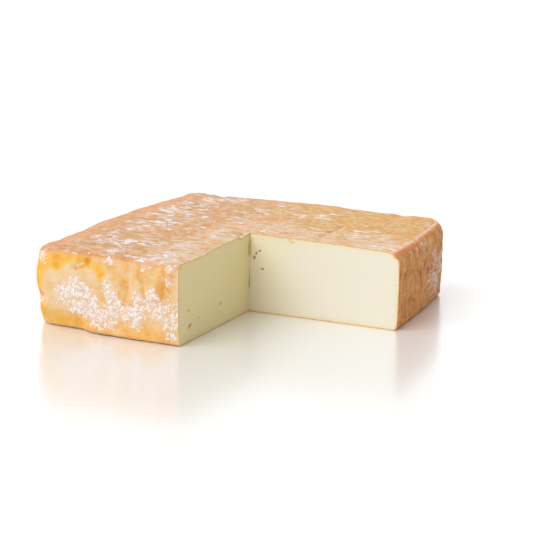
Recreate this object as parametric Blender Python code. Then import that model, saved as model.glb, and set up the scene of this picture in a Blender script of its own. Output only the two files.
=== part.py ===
"""A square washed-rind cheese with one quarter cut out, as one solid.

The block starts as an L-shaped plan, raised to its height and cut into a grid. Every point of the
grid is then moved: the rims and the upright corners are rounded, the sides bow as a soft cheese
does on its board, and the rind gets its waves, dents, creases and blisters. The two cut faces stay
flat. Last, a few small eyes are cut into them.

Metres, +Z up. The underside is at z = 0, and the middle of the block is over the origin. The
missing quarter is the one at +X, -Y.
"""

import math

import bmesh
import bpy
from mathutils import Matrix, Vector, geometry, noise

# Driving dimensions.
SIDE = 0.1930
HEIGHT = 0.0497
HALF = SIDE / 2
CUT_X = 0.0014
CUT_Y = -0.0070

# Roundings of the rind. The top rim is softer along the right side than round the rest.
CORNER_RADIUS = 0.0100
TOP_RIM = 0.0044
RIGHT_TOP_RIM = 0.0076
FOOT_RIM = 0.0025

# Outer sides. Each runs from one place to another along the block, where it stands out of the
# true square by its shift, and bows by the last figure in its middle.
LEFT_SIDE = ((-HALF, 0.0011), (HALF, -0.0005), 0.0014)
RIGHT_SIDE = ((CUT_Y, 0.0033), (HALF, -0.0034), 0.0011)
FRONT_SIDE = ((-HALF, -0.0006), (CUT_X, 0.0011), 0.0006)
BACK_SIDE = ((-HALF, 0.0000), (HALF, -0.0005), 0.0010)
SIDE_REACH = 0.0478

# How far the top stands over HEIGHT: front, middle and back rows, each from left to right.
TOP_LEVELS = (
    (-0.0017, -0.0020, -0.0029),
    (0.0011, 0.0003, -0.0026),
    (0.0011, 0.0009, -0.0005),
)

# Waves of the rind: how far they stand out, and how long they are.
SIDE_BELLY = 0.0008
BROAD_WAVE, BROAD_LENGTH = 0.0008, 0.0430
SMALL_WAVE, SMALL_LENGTH = 0.0003, 0.0115
RIND_REACH = 0.0115

# Marks of the rind: where each starts and ends, how far round it reaches, and how far it moves
# the rind at its middle.
BROAD_MARKS = (
    # The left rim sinks behind the front left corner.
    ((-0.0945, -0.0660, 0.0497), (-0.0945, -0.0480, 0.0497), 0.0240, (0.0002, 0, -0.0014)),
    # That corner sinks a little too, bulges halfway up, and has a small step under that.
    ((-0.0945, -0.0945, 0.0497), (-0.0945, -0.0900, 0.0497), 0.0120, (0.0002, 0.0002, -0.0006)),
    ((-0.0955, -0.0945, 0.0270), (-0.0955, -0.0945, 0.0320), 0.0130, (-0.0012, -0.0009, 0)),
    ((-0.0945, -0.0945, 0.0180), (-0.0936, -0.0945, 0.0180), 0.0065, (0.0012, 0.0010, 0)),
    ((-0.0945, -0.0945, 0.0080), (-0.0936, -0.0945, 0.0080), 0.0080, (-0.0006, -0.0005, 0)),
    # The foot is drawn in beside it.
    ((-0.0917, -0.0965, 0.0000), (-0.0688, -0.0965, 0.0000), 0.0143, (0.0004, 0.0043, 0)),
    # The back left corner is lumpy, and ends in a small step.
    ((-0.0907, 0.0917, 0.0506), (-0.0802, 0.0917, 0.0506), 0.0124, (0, 0, 0.0008)),
    ((-0.0692, 0.0955, 0.0497), (-0.0692, 0.0879, 0.0497), 0.0067, (0, 0, -0.0010)),
    # The back rim sinks a little near the right corner.
    ((0.0659, 0.0955, 0.0497), (0.0659, 0.0859, 0.0497), 0.0086, (0, 0, -0.0009)),
    # The top sinks beside the inner corner and beside the front cut.
    ((0.0014, -0.0181, 0.0497), (0.0014, -0.0115, 0.0497), 0.0076, (0, 0, -0.0011)),
    ((0.0014, -0.0764, 0.0478), (0.0014, -0.0669, 0.0478), 0.0153, (0, 0, -0.0008)),
)
CREASES = (
    # A fold runs over the front rim near the left corner, and turns down the side.
    ((-0.0573, -0.0941, 0.0478), (-0.0578, -0.0984, 0.0435), 0.0038, (0, 0.0010, -0.0004)),
    ((-0.0578, -0.0984, 0.0435), (-0.0683, -0.0979, 0.0382), 0.0038, (0, 0.0011, 0)),
    # Three creases stand upright in the front side.
    ((-0.0306, -0.0988, 0.0392), (-0.0321, -0.0988, 0.0271), 0.0040, (0, 0.0010, 0)),
    ((-0.0321, -0.0988, 0.0271), (-0.0353, -0.0988, 0.0191), 0.0040, (0, 0.0008, 0)),
    ((-0.0224, -0.0988, 0.0353), (-0.0215, -0.0988, 0.0296), 0.0040, (0, 0.0010, 0)),
    ((-0.0215, -0.0988, 0.0296), (-0.0189, -0.0988, 0.0239), 0.0040, (0, 0.0009, 0)),
    ((-0.0077, -0.0984, 0.0449), (-0.0082, -0.0984, 0.0277), 0.0040, (0, 0.0010, 0)),
    # A long scratch runs over the top toward the back.
    ((0.0439, 0.0048, 0.0492), (0.0441, 0.0401, 0.0492), 0.0038, (0, 0, -0.0009)),
)
BLISTERS = (
    # Low on the right side, toward the back.
    ((0.0984, 0.0525, 0.0306), (0.0984, 0.0540, 0.0329), 0.0038, (0.0011, 0, 0)),
    ((0.0979, 0.0640, 0.0239), (0.0979, 0.0649, 0.0272), 0.0038, (0.0011, 0, 0)),
    ((0.0986, 0.0516, 0.0244), (0.0986, 0.0530, 0.0263), 0.0040, (0.0010, 0, 0)),
    ((0.0993, 0.0358, 0.0258), (0.0993, 0.0363, 0.0282), 0.0038, (0.0010, 0, 0)),
    ((0.0972, 0.0702, 0.0186), (0.0972, 0.0702, 0.0224), 0.0038, (0.0009, 0, 0)),
    # Under the right rim.
    ((0.0974, 0.0487, 0.0458), (0.0974, 0.0487, 0.0460), 0.0038, (0.0009, 0, 0)),
    ((0.0982, 0.0382, 0.0444), (0.0982, 0.0382, 0.0446), 0.0038, (0.0009, 0, 0)),
    ((0.0986, 0.0277, 0.0435), (0.0986, 0.0277, 0.0436), 0.0038, (0.0009, 0, 0)),
    ((0.0993, 0.0148, 0.0444), (0.0993, 0.0172, 0.0425), 0.0036, (0.0009, 0, 0)),
)
MARKS = BROAD_MARKS + CREASES + BLISTERS

# Eyes in the two cut faces: place along the face, height, length, width, and slant.
LEFT_CUT_EYES = (
    (-0.0838, 0.0094, 0.0044, 0.0023, 35),
    (-0.0454, 0.0138, 0.0029, 0.0014, 25),
    (-0.0853, 0.0189, 0.0017, 0.0013, 0),
    (-0.0738, 0.0116, 0.0017, 0.0012, 20),
)
BACK_CUT_EYES = (
    (0.0046, 0.0345, 0.0023, 0.0017, 60),
    (0.0060, 0.0372, 0.0019, 0.0013, 40),
    (0.0084, 0.0389, 0.0019, 0.0011, 20),
    (0.0103, 0.0277, 0.0017, 0.0013, 0),
)
EYE_DEPTH, EYE_LIFT = 0.0012, 0.0002

# Size of the grid's cells, the places of its lines in a rim, and how far past a crease or a
# blister the cells are halved.
CELL = 0.0041
FINE_MARGIN = 0.0010
TOP_RIM_STEPS = (0.0015, 0.0042, 0.0076)
FOOT_RIM_STEPS = (0.0010, FOOT_RIM)

RIND_COLOUR = (0.69, 0.36, 0.15, 1.0)
PASTE_COLOUR = (0.80, 0.73, 0.50, 1.0)


def smooth(share):
    """From 0 to 1, level at both ends."""
    share = min(max(share, 0.0), 1.0)
    return share * share * (3 - 2 * share)


def filled(places):
    """The places, with even ones added so that no gap is wider than a cell."""
    lines = []
    for start, end in zip(places, places[1:]):
        steps = max(1, math.ceil((end - start) / CELL - 0.01))
        lines += [start + (end - start) * step / steps for step in range(steps)]
    return lines[1:]


def plan_lines(cut):
    low = [-HALF, *(step - HALF for step in TOP_RIM_STEPS)]
    return filled([*low, cut, *(-place for place in reversed(low))])


def height_lines():
    top = [HEIGHT, *(HEIGHT - step for step in TOP_RIM_STEPS)]
    return filled([0.0, *FOOT_RIM_STEPS, *reversed(top)])


def is_missing(point):
    return point.x > CUT_X and point.y < CUT_Y


def raw_block():
    """The L-shaped plan, raised to the block's height and cut into its grid by planes."""
    block = bmesh.new()
    bmesh.ops.create_grid(block, x_segments=2, y_segments=2, size=HALF)
    for vertex in block.verts:
        if abs(vertex.co.x) < HALF / 2:
            vertex.co.x = CUT_X
        if abs(vertex.co.y) < HALF / 2:
            vertex.co.y = CUT_Y
    quarter = [face for face in block.faces if is_missing(face.calc_center_median())]
    bmesh.ops.delete(block, geom=quarter, context="FACES")
    raised = bmesh.ops.extrude_face_region(block, geom=block.faces[:])["geom"]
    raised = [item for item in raised if isinstance(item, bmesh.types.BMVert)]
    bmesh.ops.translate(block, vec=(0, 0, HEIGHT), verts=raised)
    bmesh.ops.recalc_face_normals(block, faces=block.faces[:])

    planes = [((x, 0, 0), (1, 0, 0)) for x in plan_lines(CUT_X)]
    planes += [((0, y, 0), (0, 1, 0)) for y in plan_lines(CUT_Y)]
    planes += [((0, 0, z), (0, 0, 1)) for z in height_lines()]
    for place, normal in planes:
        everything = [*block.verts, *block.edges, *block.faces]
        bmesh.ops.bisect_plane(
            block, geom=everything, dist=1e-5, plane_co=place, plane_no=normal
        )
    return block


def distance_to(mark, point):
    """How far a point lies from the line between a mark's two ends."""
    start, end = Vector(mark[0]), Vector(mark[1])
    nearest, share = geometry.intersect_point_line(point, start, end)
    if share < 0:
        nearest = start
    elif share > 1:
        nearest = end
    return (point - nearest).length


def refine_marks(block):
    """The grid is made finer where a crease or a blister goes."""
    fine = []
    for edge in block.edges:
        middle = (edge.verts[0].co + edge.verts[1].co) / 2
        if any(distance_to(mark, middle) < mark[2] + FINE_MARGIN for mark in CREASES + BLISTERS):
            fine.append(edge)
    bmesh.ops.subdivide_edges(block, edges=fine, cuts=1, use_grid_fill=True)


def rounded(high, low):
    """Two distances into a square rim, moved onto the arc that replaces it."""
    reach, length = max(high, low), math.hypot(high, low)
    return high * reach / length, low * reach / length


def outward_and_depth(point):
    """The level direction out of the rind, how deep the point is, and the point itself with the
    upright corners rounded."""
    core = HALF - CORNER_RADIUS
    across = point.x - min(max(point.x, -core), core)
    along = point.y - min(max(point.y, -core), core)
    reach = max(abs(across), abs(along))
    if reach <= 0:
        return Vector(), HALF - max(abs(point.x), abs(point.y)), point.copy()
    out = Vector((across, along, 0)).normalized()
    moved = Vector((point.x - across, point.y - along, point.z)) + out * reach
    return out, CORNER_RADIUS - reach, moved


def round_rims(point, out, depth):
    """The point with the top and bottom rims rounded, and its new depth."""
    top_rim = TOP_RIM + (RIGHT_TOP_RIM - TOP_RIM) * smooth(out.x)
    for rim, over in ((top_rim, point.z - (HEIGHT - top_rim)), (FOOT_RIM, FOOT_RIM - point.z)):
        inward = rim - depth
        if over <= 0 or inward <= 0:
            continue
        new_inward, new_over = rounded(inward, over)
        point = point - out * (inward - new_inward)
        point.z += math.copysign(over - new_over, HEIGHT / 2 - point.z)
        depth = rim - new_inward
    return point, depth


def shift_of(side, place):
    (start, first), (end, last), bow = side
    share = (place - start) / (end - start)
    middle = 1 - (2 * min(max(share, 0), 1) - 1) ** 2
    return first + (last - first) * share + bow * middle


def side_shift(point):
    """How the outer sides stand out of the true square here. It fades out inside the block."""
    shift = Vector()
    for side, axis, sign in (
        (LEFT_SIDE, 0, -1),
        (RIGHT_SIDE, 0, 1),
        (FRONT_SIDE, 1, -1),
        (BACK_SIDE, 1, 1),
    ):
        near = smooth(1 - (HALF - sign * point[axis]) / SIDE_REACH)
        shift[axis] += sign * near * shift_of(side, point[1 - axis])
    return shift


def quadratic(levels, share):
    """A smooth curve through three levels, at shares -1, 0 and 1."""
    low, middle, high = levels
    return middle + share * (high - low) / 2 + share**2 * ((low + high) / 2 - middle)


def top_level(point):
    rows = [quadratic(row, point.x / HALF) for row in TOP_LEVELS]
    return quadratic(rows, point.y / HALF)


def wave(point, length, seed):
    """Smooth noise of about this wave length, from -1 to 1."""
    return noise.noise((point + Vector((seed, 2 * seed, 3 * seed))) / length)


def rind_waves(point):
    broad = BROAD_WAVE * wave(point, BROAD_LENGTH, 1.624)
    return broad + SMALL_WAVE * wave(point, SMALL_LENGTH, 3.929)


def shaped(raw):
    """Where a point of the raw block lies in the cheese."""
    out, depth, point = outward_and_depth(raw)
    point, depth = round_rims(point, out, depth)
    share = point.z / HEIGHT
    near_side = smooth(1 - depth / RIND_REACH)
    relief = rind_waves(point)
    belly = SIDE_BELLY * math.sin(math.pi * share)
    standing = min(1.0, point.z / FOOT_RIM)
    moved = point + side_shift(point) + out * near_side * standing * (belly + relief)
    moved.z += share**2 * (top_level(point) + relief)
    push = Vector()
    for mark in MARKS:
        push += Vector(mark[3]) * smooth(1 - distance_to(mark, moved) / mark[2])
    return moved + push


def is_flat(face, axis, level):
    return all(abs(vertex.co[axis] - level) < 1e-6 for vertex in face.verts)


def paint_cuts(block):
    """The cut faces get the paste's material and sharp borders, and each flat face is made one."""
    for face in block.faces:
        face.smooth = True
    cuts = ((0, CUT_X, Vector((1, 0, 0))), (1, CUT_Y, Vector((0, -1, 0))))
    for axis, level, normal in cuts:
        cut = [face for face in block.faces if is_flat(face, axis, level)]
        cut = [face for face in cut if face.normal.dot(normal) > 0.9]
        for face in cut:
            face.material_index = 1
        bmesh.ops.dissolve_faces(block, faces=cut, use_verts=False)
    under = [face for face in block.faces if is_flat(face, 2, 0)]
    bmesh.ops.dissolve_faces(block, faces=under, use_verts=False)
    on_straight_edges = [vertex for vertex in block.verts if len(vertex.link_edges) == 2]
    bmesh.ops.dissolve_verts(block, verts=on_straight_edges)
    for edge in block.edges:
        sides = [face.material_index for face in edge.link_faces]
        edge.smooth = sides == [0, 0]


def cheese_block():
    block = raw_block()
    refine_marks(block)
    for vertex in block.verts:
        vertex.co = shaped(vertex.co)
    block.normal_update()
    paint_cuts(block)
    return block


def middle_of(block):
    """The middle of the block's plan, as a point on the underside."""
    across = [vertex.co.x for vertex in block.verts]
    along = [vertex.co.y for vertex in block.verts]
    return Vector((max(across) + min(across), max(along) + min(along), 0)) / 2


def eye_cutter(name, centre, turn, sizes):
    """A squashed ball. Its middle is just off the cut face, so that it leaves a shallow hole."""
    length, width, slant = sizes
    ball = bmesh.new()
    bmesh.ops.create_icosphere(ball, subdivisions=2, radius=1)
    size = Matrix.Diagonal((length / 2, EYE_DEPTH + EYE_LIFT, width / 2, 1))
    slanted = Matrix.Rotation(math.radians(-slant), 4, "Y")
    ball.transform(Matrix.Translation(centre) @ turn @ slanted @ size)
    mesh = bpy.data.meshes.new(name)
    ball.to_mesh(mesh)
    ball.free()
    return bpy.data.objects.new(name, mesh)


def eye_cutters(middle):
    cutters = []
    for index, (place, height, *sizes) in enumerate(LEFT_CUT_EYES):
        centre = Vector((CUT_X + EYE_LIFT, place, height)) - middle
        turn = Matrix.Rotation(math.radians(90), 4, "Z")
        cutters.append(eye_cutter(f"eye_cutter_left_{index + 1}", centre, turn, sizes))
    for index, (place, height, *sizes) in enumerate(BACK_CUT_EYES):
        centre = Vector((place, CUT_Y - EYE_LIFT, height)) - middle
        cutters.append(eye_cutter(f"eye_cutter_back_{index + 1}", centre, Matrix(), sizes))
    return cutters


def simple_material(name, colour, roughness):
    material = bpy.data.materials.new(name)
    material.use_nodes = True
    shader = material.node_tree.nodes["Principled BSDF"]
    shader.inputs["Base Color"].default_value = colour
    shader.inputs["Roughness"].default_value = roughness
    return material


def collection_named(name):
    collection = bpy.data.collections.new(name)
    bpy.context.scene.collection.children.link(collection)
    return collection


def main():
    for obj in list(bpy.data.objects):
        bpy.data.objects.remove(obj)
    rind = simple_material("rind", RIND_COLOUR, 0.6)
    paste = simple_material("paste", PASTE_COLOUR, 0.5)

    block = cheese_block()
    middle = middle_of(block)
    bmesh.ops.translate(block, vec=-middle, verts=block.verts)
    mesh = bpy.data.meshes.new("cheese")
    block.to_mesh(mesh)
    block.free()
    mesh.materials.append(rind)
    mesh.materials.append(paste)
    cheese = bpy.data.objects.new("cheese", mesh)
    collection_named("cheese").objects.link(cheese)

    helpers = collection_named("cutters")
    helpers.hide_render = True
    for cutter in eye_cutters(middle):
        cutter.data.materials.append(paste)
        cutter.hide_render = True
        cutter.display_type = "WIRE"
        helpers.objects.link(cutter)
    eyes = cheese.modifiers.new("eyes", "BOOLEAN")
    eyes.operation = "DIFFERENCE"
    eyes.solver = "EXACT"
    eyes.operand_type = "COLLECTION"
    eyes.collection = helpers


main()
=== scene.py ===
"""The looks of a washed-rind square cheese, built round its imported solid."""

import math

import bmesh
import bpy
from mathutils import Matrix, Vector, geometry, noise


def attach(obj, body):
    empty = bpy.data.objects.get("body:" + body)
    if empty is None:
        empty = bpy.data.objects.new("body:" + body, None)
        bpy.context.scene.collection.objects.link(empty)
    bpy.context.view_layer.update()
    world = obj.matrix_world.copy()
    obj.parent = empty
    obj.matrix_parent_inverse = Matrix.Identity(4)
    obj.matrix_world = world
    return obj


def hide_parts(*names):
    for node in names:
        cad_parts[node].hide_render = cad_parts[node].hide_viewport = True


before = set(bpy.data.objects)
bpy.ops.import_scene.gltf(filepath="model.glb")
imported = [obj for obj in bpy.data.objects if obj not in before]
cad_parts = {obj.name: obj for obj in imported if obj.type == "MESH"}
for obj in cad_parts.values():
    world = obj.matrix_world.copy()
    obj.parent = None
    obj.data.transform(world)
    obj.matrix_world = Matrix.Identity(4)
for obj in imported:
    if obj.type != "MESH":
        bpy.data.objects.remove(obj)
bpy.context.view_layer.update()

# The camera stands in front of the cheese and to its right, a little over its top, and looks
# down on the corner where the quarter is missing. It is level but for a slight lean.
CAMERA_PLACE = (0.3934, -0.8091, 0.2398)
CAMERA_HEADING = math.radians(25.37)
CAMERA_DIP = math.radians(13.3)
CAMERA_LEAN = math.radians(0.7)
CAMERA_LENS, SENSOR_WIDTH = 100, 36

camera_data = bpy.data.cameras.new("camera")
camera_data.lens = CAMERA_LENS
camera_data.sensor_width = SENSOR_WIDTH
camera = bpy.data.objects.new("camera", camera_data)
bpy.context.collection.objects.link(camera)
camera.matrix_world = (
    Matrix.Translation(CAMERA_PLACE)
    @ Matrix.Rotation(CAMERA_HEADING, 4, "Z")
    @ Matrix.Rotation(math.radians(90) - CAMERA_DIP, 4, "X")
    @ Matrix.Rotation(CAMERA_LEAN, 4, "Z")
)
bpy.context.scene.camera = camera

# The block is one piece of soft cheese, pressed in a square mould and ripened on boards. Its
# rims are rounded and its sides bow. A knife has taken one quarter out, down two flat cuts.
SIDE, HEIGHT = 0.1930, 0.0497
HALF = SIDE / 2
CUT_X, CUT_Y = 0.0014, -0.0070
BLOCK_SHIFT = Vector((-0.0004, 0.00035, 0))
CORNER_RADIUS = 0.0100
TOP_RIM, RIGHT_TOP_RIM, FOOT_RIM = 0.0044, 0.0076, 0.0025
CELLS, LEVELS = 232, 56

# Each side runs from one place to another, stands out by the second figure there, and bows by
# the last figure in its middle.
LEFT_SIDE = ((-HALF, 0.0011), (HALF, -0.0005), 0.0014)
RIGHT_SIDE = ((CUT_Y, 0.0033), (HALF, -0.0034), 0.0011)
FRONT_SIDE = ((-HALF, -0.0006), (CUT_X, 0.0011), 0.0006)
BACK_SIDE = ((-HALF, 0.0000), (HALF, -0.0005), 0.0010)
SIDE_REACH = 0.0478
TOP_LEVELS = (
    (-0.0017, -0.0020, -0.0029),
    (0.0011, 0.0003, -0.0026),
    (0.0011, 0.0009, -0.0005),
)
SIDE_BELLY = 0.0008
# Waves of the rind: height, length and the place in the noise where they are read.
BROAD_WAVE, BROAD_LENGTH, BROAD_SEED = 0.0008, 0.0430, 1.624
SMALL_WAVE, SMALL_LENGTH, SMALL_SEED = 0.0003, 0.0115, 3.929
RIND_REACH = 0.0115
# Two places this close are the same, and the flat underside stays this far inside the foot.
TOUCHING, UNDERSIDE_MARGIN = 0.00001, 0.001

# Dents and lumps: start, end, reach and push.
DENTS = (
    ((-0.0945, -0.0660, 0.0497), (-0.0945, -0.0480, 0.0497), 0.0240, (0.0002, 0, -0.0014)),
    ((-0.0945, -0.0945, 0.0497), (-0.0945, -0.0900, 0.0497), 0.0120, (0.0002, 0.0002, -0.0006)),
    ((-0.0955, -0.0945, 0.0270), (-0.0955, -0.0945, 0.0320), 0.0130, (-0.0012, -0.0009, 0)),
    ((-0.0945, -0.0945, 0.0180), (-0.0936, -0.0945, 0.0180), 0.0065, (0.0012, 0.0010, 0)),
    ((-0.0945, -0.0945, 0.0080), (-0.0936, -0.0945, 0.0080), 0.0080, (-0.0006, -0.0005, 0)),
    ((-0.0917, -0.0965, 0.0000), (-0.0688, -0.0965, 0.0000), 0.0143, (0.0004, 0.0043, 0)),
    ((-0.0907, 0.0917, 0.0506), (-0.0802, 0.0917, 0.0506), 0.0124, (0, 0, 0.0008)),
    ((-0.0692, 0.0955, 0.0497), (-0.0692, 0.0879, 0.0497), 0.0067, (0, 0, -0.0010)),
    ((0.0659, 0.0955, 0.0497), (0.0659, 0.0859, 0.0497), 0.0086, (0, 0, -0.0009)),
    ((0.0014, -0.0181, 0.0497), (0.0014, -0.0115, 0.0497), 0.0076, (0, 0, -0.0011)),
    ((0.0014, -0.0764, 0.0478), (0.0014, -0.0669, 0.0478), 0.0153, (0, 0, -0.0008)),
)
# The fold of the front side near its left, the upright creases, and the scratch over the top.
FOLD = (
    ((-0.0573, -0.0941, 0.0478), (-0.0578, -0.0984, 0.0435), 0.0026, (0, 0.0007, -0.0003)),
    ((-0.0578, -0.0984, 0.0435), (-0.0683, -0.0979, 0.0382), 0.0028, (0, 0.0008, 0)),
)
CREASES = (
    ((-0.0306, -0.0988, 0.0392), (-0.0321, -0.0988, 0.0271), 0.0026, (0, 0.0005, 0)),
    ((-0.0321, -0.0988, 0.0271), (-0.0353, -0.0988, 0.0191), 0.0024, (0, 0.0004, 0)),
    ((-0.0224, -0.0988, 0.0353), (-0.0215, -0.0988, 0.0296), 0.0026, (0, 0.0006, 0)),
    ((-0.0215, -0.0988, 0.0296), (-0.0189, -0.0988, 0.0239), 0.0024, (0, 0.0005, 0)),
    ((-0.0077, -0.0984, 0.0449), (-0.0082, -0.0984, 0.0277), 0.0026, (0, 0.0005, 0)),
)
SCRATCH = (((0.0439, 0.0048, 0.0492), (0.0441, 0.0401, 0.0492), 0.0022, (0, 0, -0.0009)),)
# Small blisters of the right side.
BLISTERS = (
    ((0.0984, 0.0525, 0.0306), (0.0984, 0.0540, 0.0329), 0.0026, (0.0011, 0, 0)),
    ((0.0979, 0.0640, 0.0239), (0.0979, 0.0649, 0.0272), 0.0026, (0.0011, 0, 0)),
    ((0.0986, 0.0516, 0.0244), (0.0986, 0.0530, 0.0263), 0.0028, (0.0010, 0, 0)),
    ((0.0993, 0.0358, 0.0258), (0.0993, 0.0363, 0.0282), 0.0026, (0.0010, 0, 0)),
    ((0.0972, 0.0702, 0.0186), (0.0972, 0.0702, 0.0224), 0.0026, (0.0009, 0, 0)),
    ((0.0974, 0.0487, 0.0458), (0.0974, 0.0487, 0.0460), 0.0026, (0.0009, 0, 0)),
    ((0.0982, 0.0382, 0.0444), (0.0982, 0.0382, 0.0446), 0.0026, (0.0009, 0, 0)),
    ((0.0986, 0.0277, 0.0435), (0.0986, 0.0277, 0.0436), 0.0026, (0.0009, 0, 0)),
    ((0.0993, 0.0148, 0.0444), (0.0993, 0.0172, 0.0425), 0.0024, (0.0009, 0, 0)),
)
MARKS = DENTS + FOLD + CREASES + SCRATCH + BLISTERS
# Eyes of the two cut faces: place along the face, height, length, width and slant.
LEFT_CUT_EYES = (
    (-0.0838, 0.0094, 0.0044, 0.0023, 35),
    (-0.0454, 0.0138, 0.0029, 0.0014, 25),
    (-0.0853, 0.0189, 0.0017, 0.0013, 0),
    (-0.0738, 0.0116, 0.0017, 0.0012, 20),
)
BACK_CUT_EYES = (
    (0.0046, 0.0345, 0.0023, 0.0017, 60),
    (0.0060, 0.0372, 0.0019, 0.0013, 40),
    (0.0084, 0.0389, 0.0019, 0.0011, 20),
    (0.0103, 0.0277, 0.0017, 0.0013, 0),
)
EYE_DEPTH = 0.0012


def smooth(share):
    share = min(max(share, 0.0), 1.0)
    return share * share * (3 - 2 * share)


def line_place(raw, cut):
    """Grid lines are even on both sides of the cut, and one of them lies on it."""
    before = round(CELLS * (HALF + cut) / SIDE)
    count = (raw + HALF) / SIDE * CELLS
    if count <= before:
        return -HALF + (HALF + cut) * count / before
    return cut + (HALF - cut) * (count - before) / (CELLS - before)


def deepest(point):
    return HALF - max(abs(point.x), abs(point.y))


def distance_to(mark, point):
    start, end = Vector(mark[0]), Vector(mark[1])
    nearest, share = geometry.intersect_point_line(point, start, end)
    if share < 0:
        nearest = start
    elif share > 1:
        nearest = end
    return (point - nearest).length


def rounded(high, low):
    """Two distances into a square rim, moved onto the arc that replaces it."""
    reach, length = max(high, low), math.hypot(high, low)
    return high * reach / length, low * reach / length


def outward_and_depth(point):
    core = HALF - CORNER_RADIUS
    across = point.x - min(max(point.x, -core), core)
    along = point.y - min(max(point.y, -core), core)
    reach = max(abs(across), abs(along))
    if reach <= 0:
        return Vector(), deepest(point), point.copy()
    out = Vector((across, along, 0)).normalized()
    moved = Vector((point.x - across, point.y - along, point.z)) + out * reach
    return out, CORNER_RADIUS - reach, moved


def round_rims(point, out, depth):
    top_rim = TOP_RIM + (RIGHT_TOP_RIM - TOP_RIM) * smooth(out.x)
    for rim, over in ((top_rim, point.z - (HEIGHT - top_rim)), (FOOT_RIM, FOOT_RIM - point.z)):
        inward = rim - depth
        if over <= 0 or inward <= 0:
            continue
        new_inward, new_over = rounded(inward, over)
        point = point - out * (inward - new_inward)
        point.z += math.copysign(over - new_over, HEIGHT / 2 - point.z)
        depth = rim - new_inward
    return point, depth


def shift_of(side, place):
    (start, first), (end, last), bow = side
    share = (place - start) / (end - start)
    middle = 1 - (2 * min(max(share, 0), 1) - 1) ** 2
    return first + (last - first) * share + bow * middle


def side_shift(point):
    shift = Vector()
    for side, axis, sign in (
        (LEFT_SIDE, 0, -1),
        (RIGHT_SIDE, 0, 1),
        (FRONT_SIDE, 1, -1),
        (BACK_SIDE, 1, 1),
    ):
        near = smooth(1 - (HALF - sign * point[axis]) / SIDE_REACH)
        shift[axis] += sign * near * shift_of(side, point[1 - axis])
    return shift


def quadratic(levels, share):
    low, middle, high = levels
    return middle + share * (high - low) / 2 + share**2 * ((low + high) / 2 - middle)


def top_level(point):
    rows = [quadratic(row, point.x / HALF) for row in TOP_LEVELS]
    return quadratic(rows, point.y / HALF)


def wave(point, length, seed):
    return noise.noise((point + Vector((seed, 2 * seed, 3 * seed))) / length)


def shaped(raw):
    """Where a point of the square block lies in the cheese."""
    out, depth, point = outward_and_depth(raw)
    point, depth = round_rims(point, out, depth)
    share = point.z / HEIGHT
    near_side = smooth(1 - depth / RIND_REACH)
    relief = BROAD_WAVE * wave(point, BROAD_LENGTH, BROAD_SEED)
    relief += SMALL_WAVE * wave(point, SMALL_LENGTH, SMALL_SEED)
    belly = SIDE_BELLY * math.sin(math.pi * share)
    standing = min(1.0, point.z / FOOT_RIM)
    moved = point + side_shift(point) + out * near_side * standing * (belly + relief)
    moved.z += share**2 * (top_level(point) + relief)
    push = Vector()
    for mark in MARKS:
        push += Vector(mark[3]) * smooth(1 - distance_to(mark, moved) / mark[2])
    return moved + push


block = bmesh.new()
bmesh.ops.create_grid(block, x_segments=CELLS, y_segments=CELLS, size=HALF)
for vertex in block.verts:
    vertex.co.x = line_place(vertex.co.x, CUT_X)
    vertex.co.y = line_place(vertex.co.y, CUT_Y)
quarter = []
for face in block.faces:
    centre = face.calc_center_median()
    if centre.x > CUT_X and centre.y < CUT_Y:
        quarter.append(face)
bmesh.ops.delete(block, geom=quarter, context="FACES")

# The sheet is raised to a block. Its flat underside is one face inside the rounded foot.
under = block.faces[:]
raised = bmesh.ops.extrude_face_region(block, geom=under)["geom"]
raised = [item for item in raised if isinstance(item, bmesh.types.BMVert)]
bmesh.ops.translate(block, vec=(0, 0, HEIGHT), verts=raised)
upright = [edge for edge in block.edges if edge.calc_length() > HEIGHT / 2]
bmesh.ops.subdivide_edges(block, edges=upright, cuts=LEVELS - 1, use_grid_fill=True)
inner = []
for face in block.faces:
    centre = face.calc_center_median()
    if centre.z < TOUCHING and deepest(centre) > FOOT_RIM + UNDERSIDE_MARGIN:
        if centre.x < CUT_X - UNDERSIDE_MARGIN or centre.y > CUT_Y + UNDERSIDE_MARGIN:
            inner.append(face)
bmesh.ops.delete(block, geom=inner, context="FACES")
rim = [edge for edge in block.edges if edge.is_boundary]
bmesh.ops.holes_fill(block, edges=rim, sides=0)
bmesh.ops.recalc_face_normals(block, faces=block.faces[:])

# The two cut faces get the paste's finish and sharp edges, and are finer near their eyes.
NEAR_EYE = 0.0040
eye_places = [Vector((CUT_X, place, height)) for place, height, *_ in LEFT_CUT_EYES]
eye_places += [Vector((place, CUT_Y, height)) for place, height, *_ in BACK_CUT_EYES]


def near_eye(point):
    return any((point - place).length < NEAR_EYE for place in eye_places)


def on_left_cut(point):
    return abs(point.x - CUT_X) < TOUCHING and point.y < CUT_Y + TOUCHING


def on_back_cut(point):
    return abs(point.y - CUT_Y) < TOUCHING and point.x > CUT_X - TOUCHING


def on_cut(points):
    return all(map(on_left_cut, points)) or all(map(on_back_cut, points))


fine = []
for edge in block.edges:
    ends = [vertex.co for vertex in edge.verts]
    if on_cut(ends) and near_eye((ends[0] + ends[1]) / 2):
        fine.append(edge)
bmesh.ops.subdivide_edges(block, edges=fine, cuts=1, use_grid_fill=True)
for face in block.faces:
    face.smooth = True
    face.material_index = int(on_cut([vertex.co for vertex in face.verts]))
for edge in block.edges:
    edge.smooth = len({face.material_index for face in edge.link_faces}) == 1


def under_rind(raw):
    """How deep a point of the square block is under the nearest rind."""
    side, down = deepest(raw), HEIGHT - raw.z
    if side < TOP_RIM and down < TOP_RIM:
        return TOP_RIM - math.hypot(TOP_RIM - side, TOP_RIM - down)
    return min(side, down, raw.z)


depths = [under_rind(vertex.co) for vertex in block.verts]
for vertex in block.verts:
    vertex.co = shaped(vertex.co)
block.normal_update()

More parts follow.
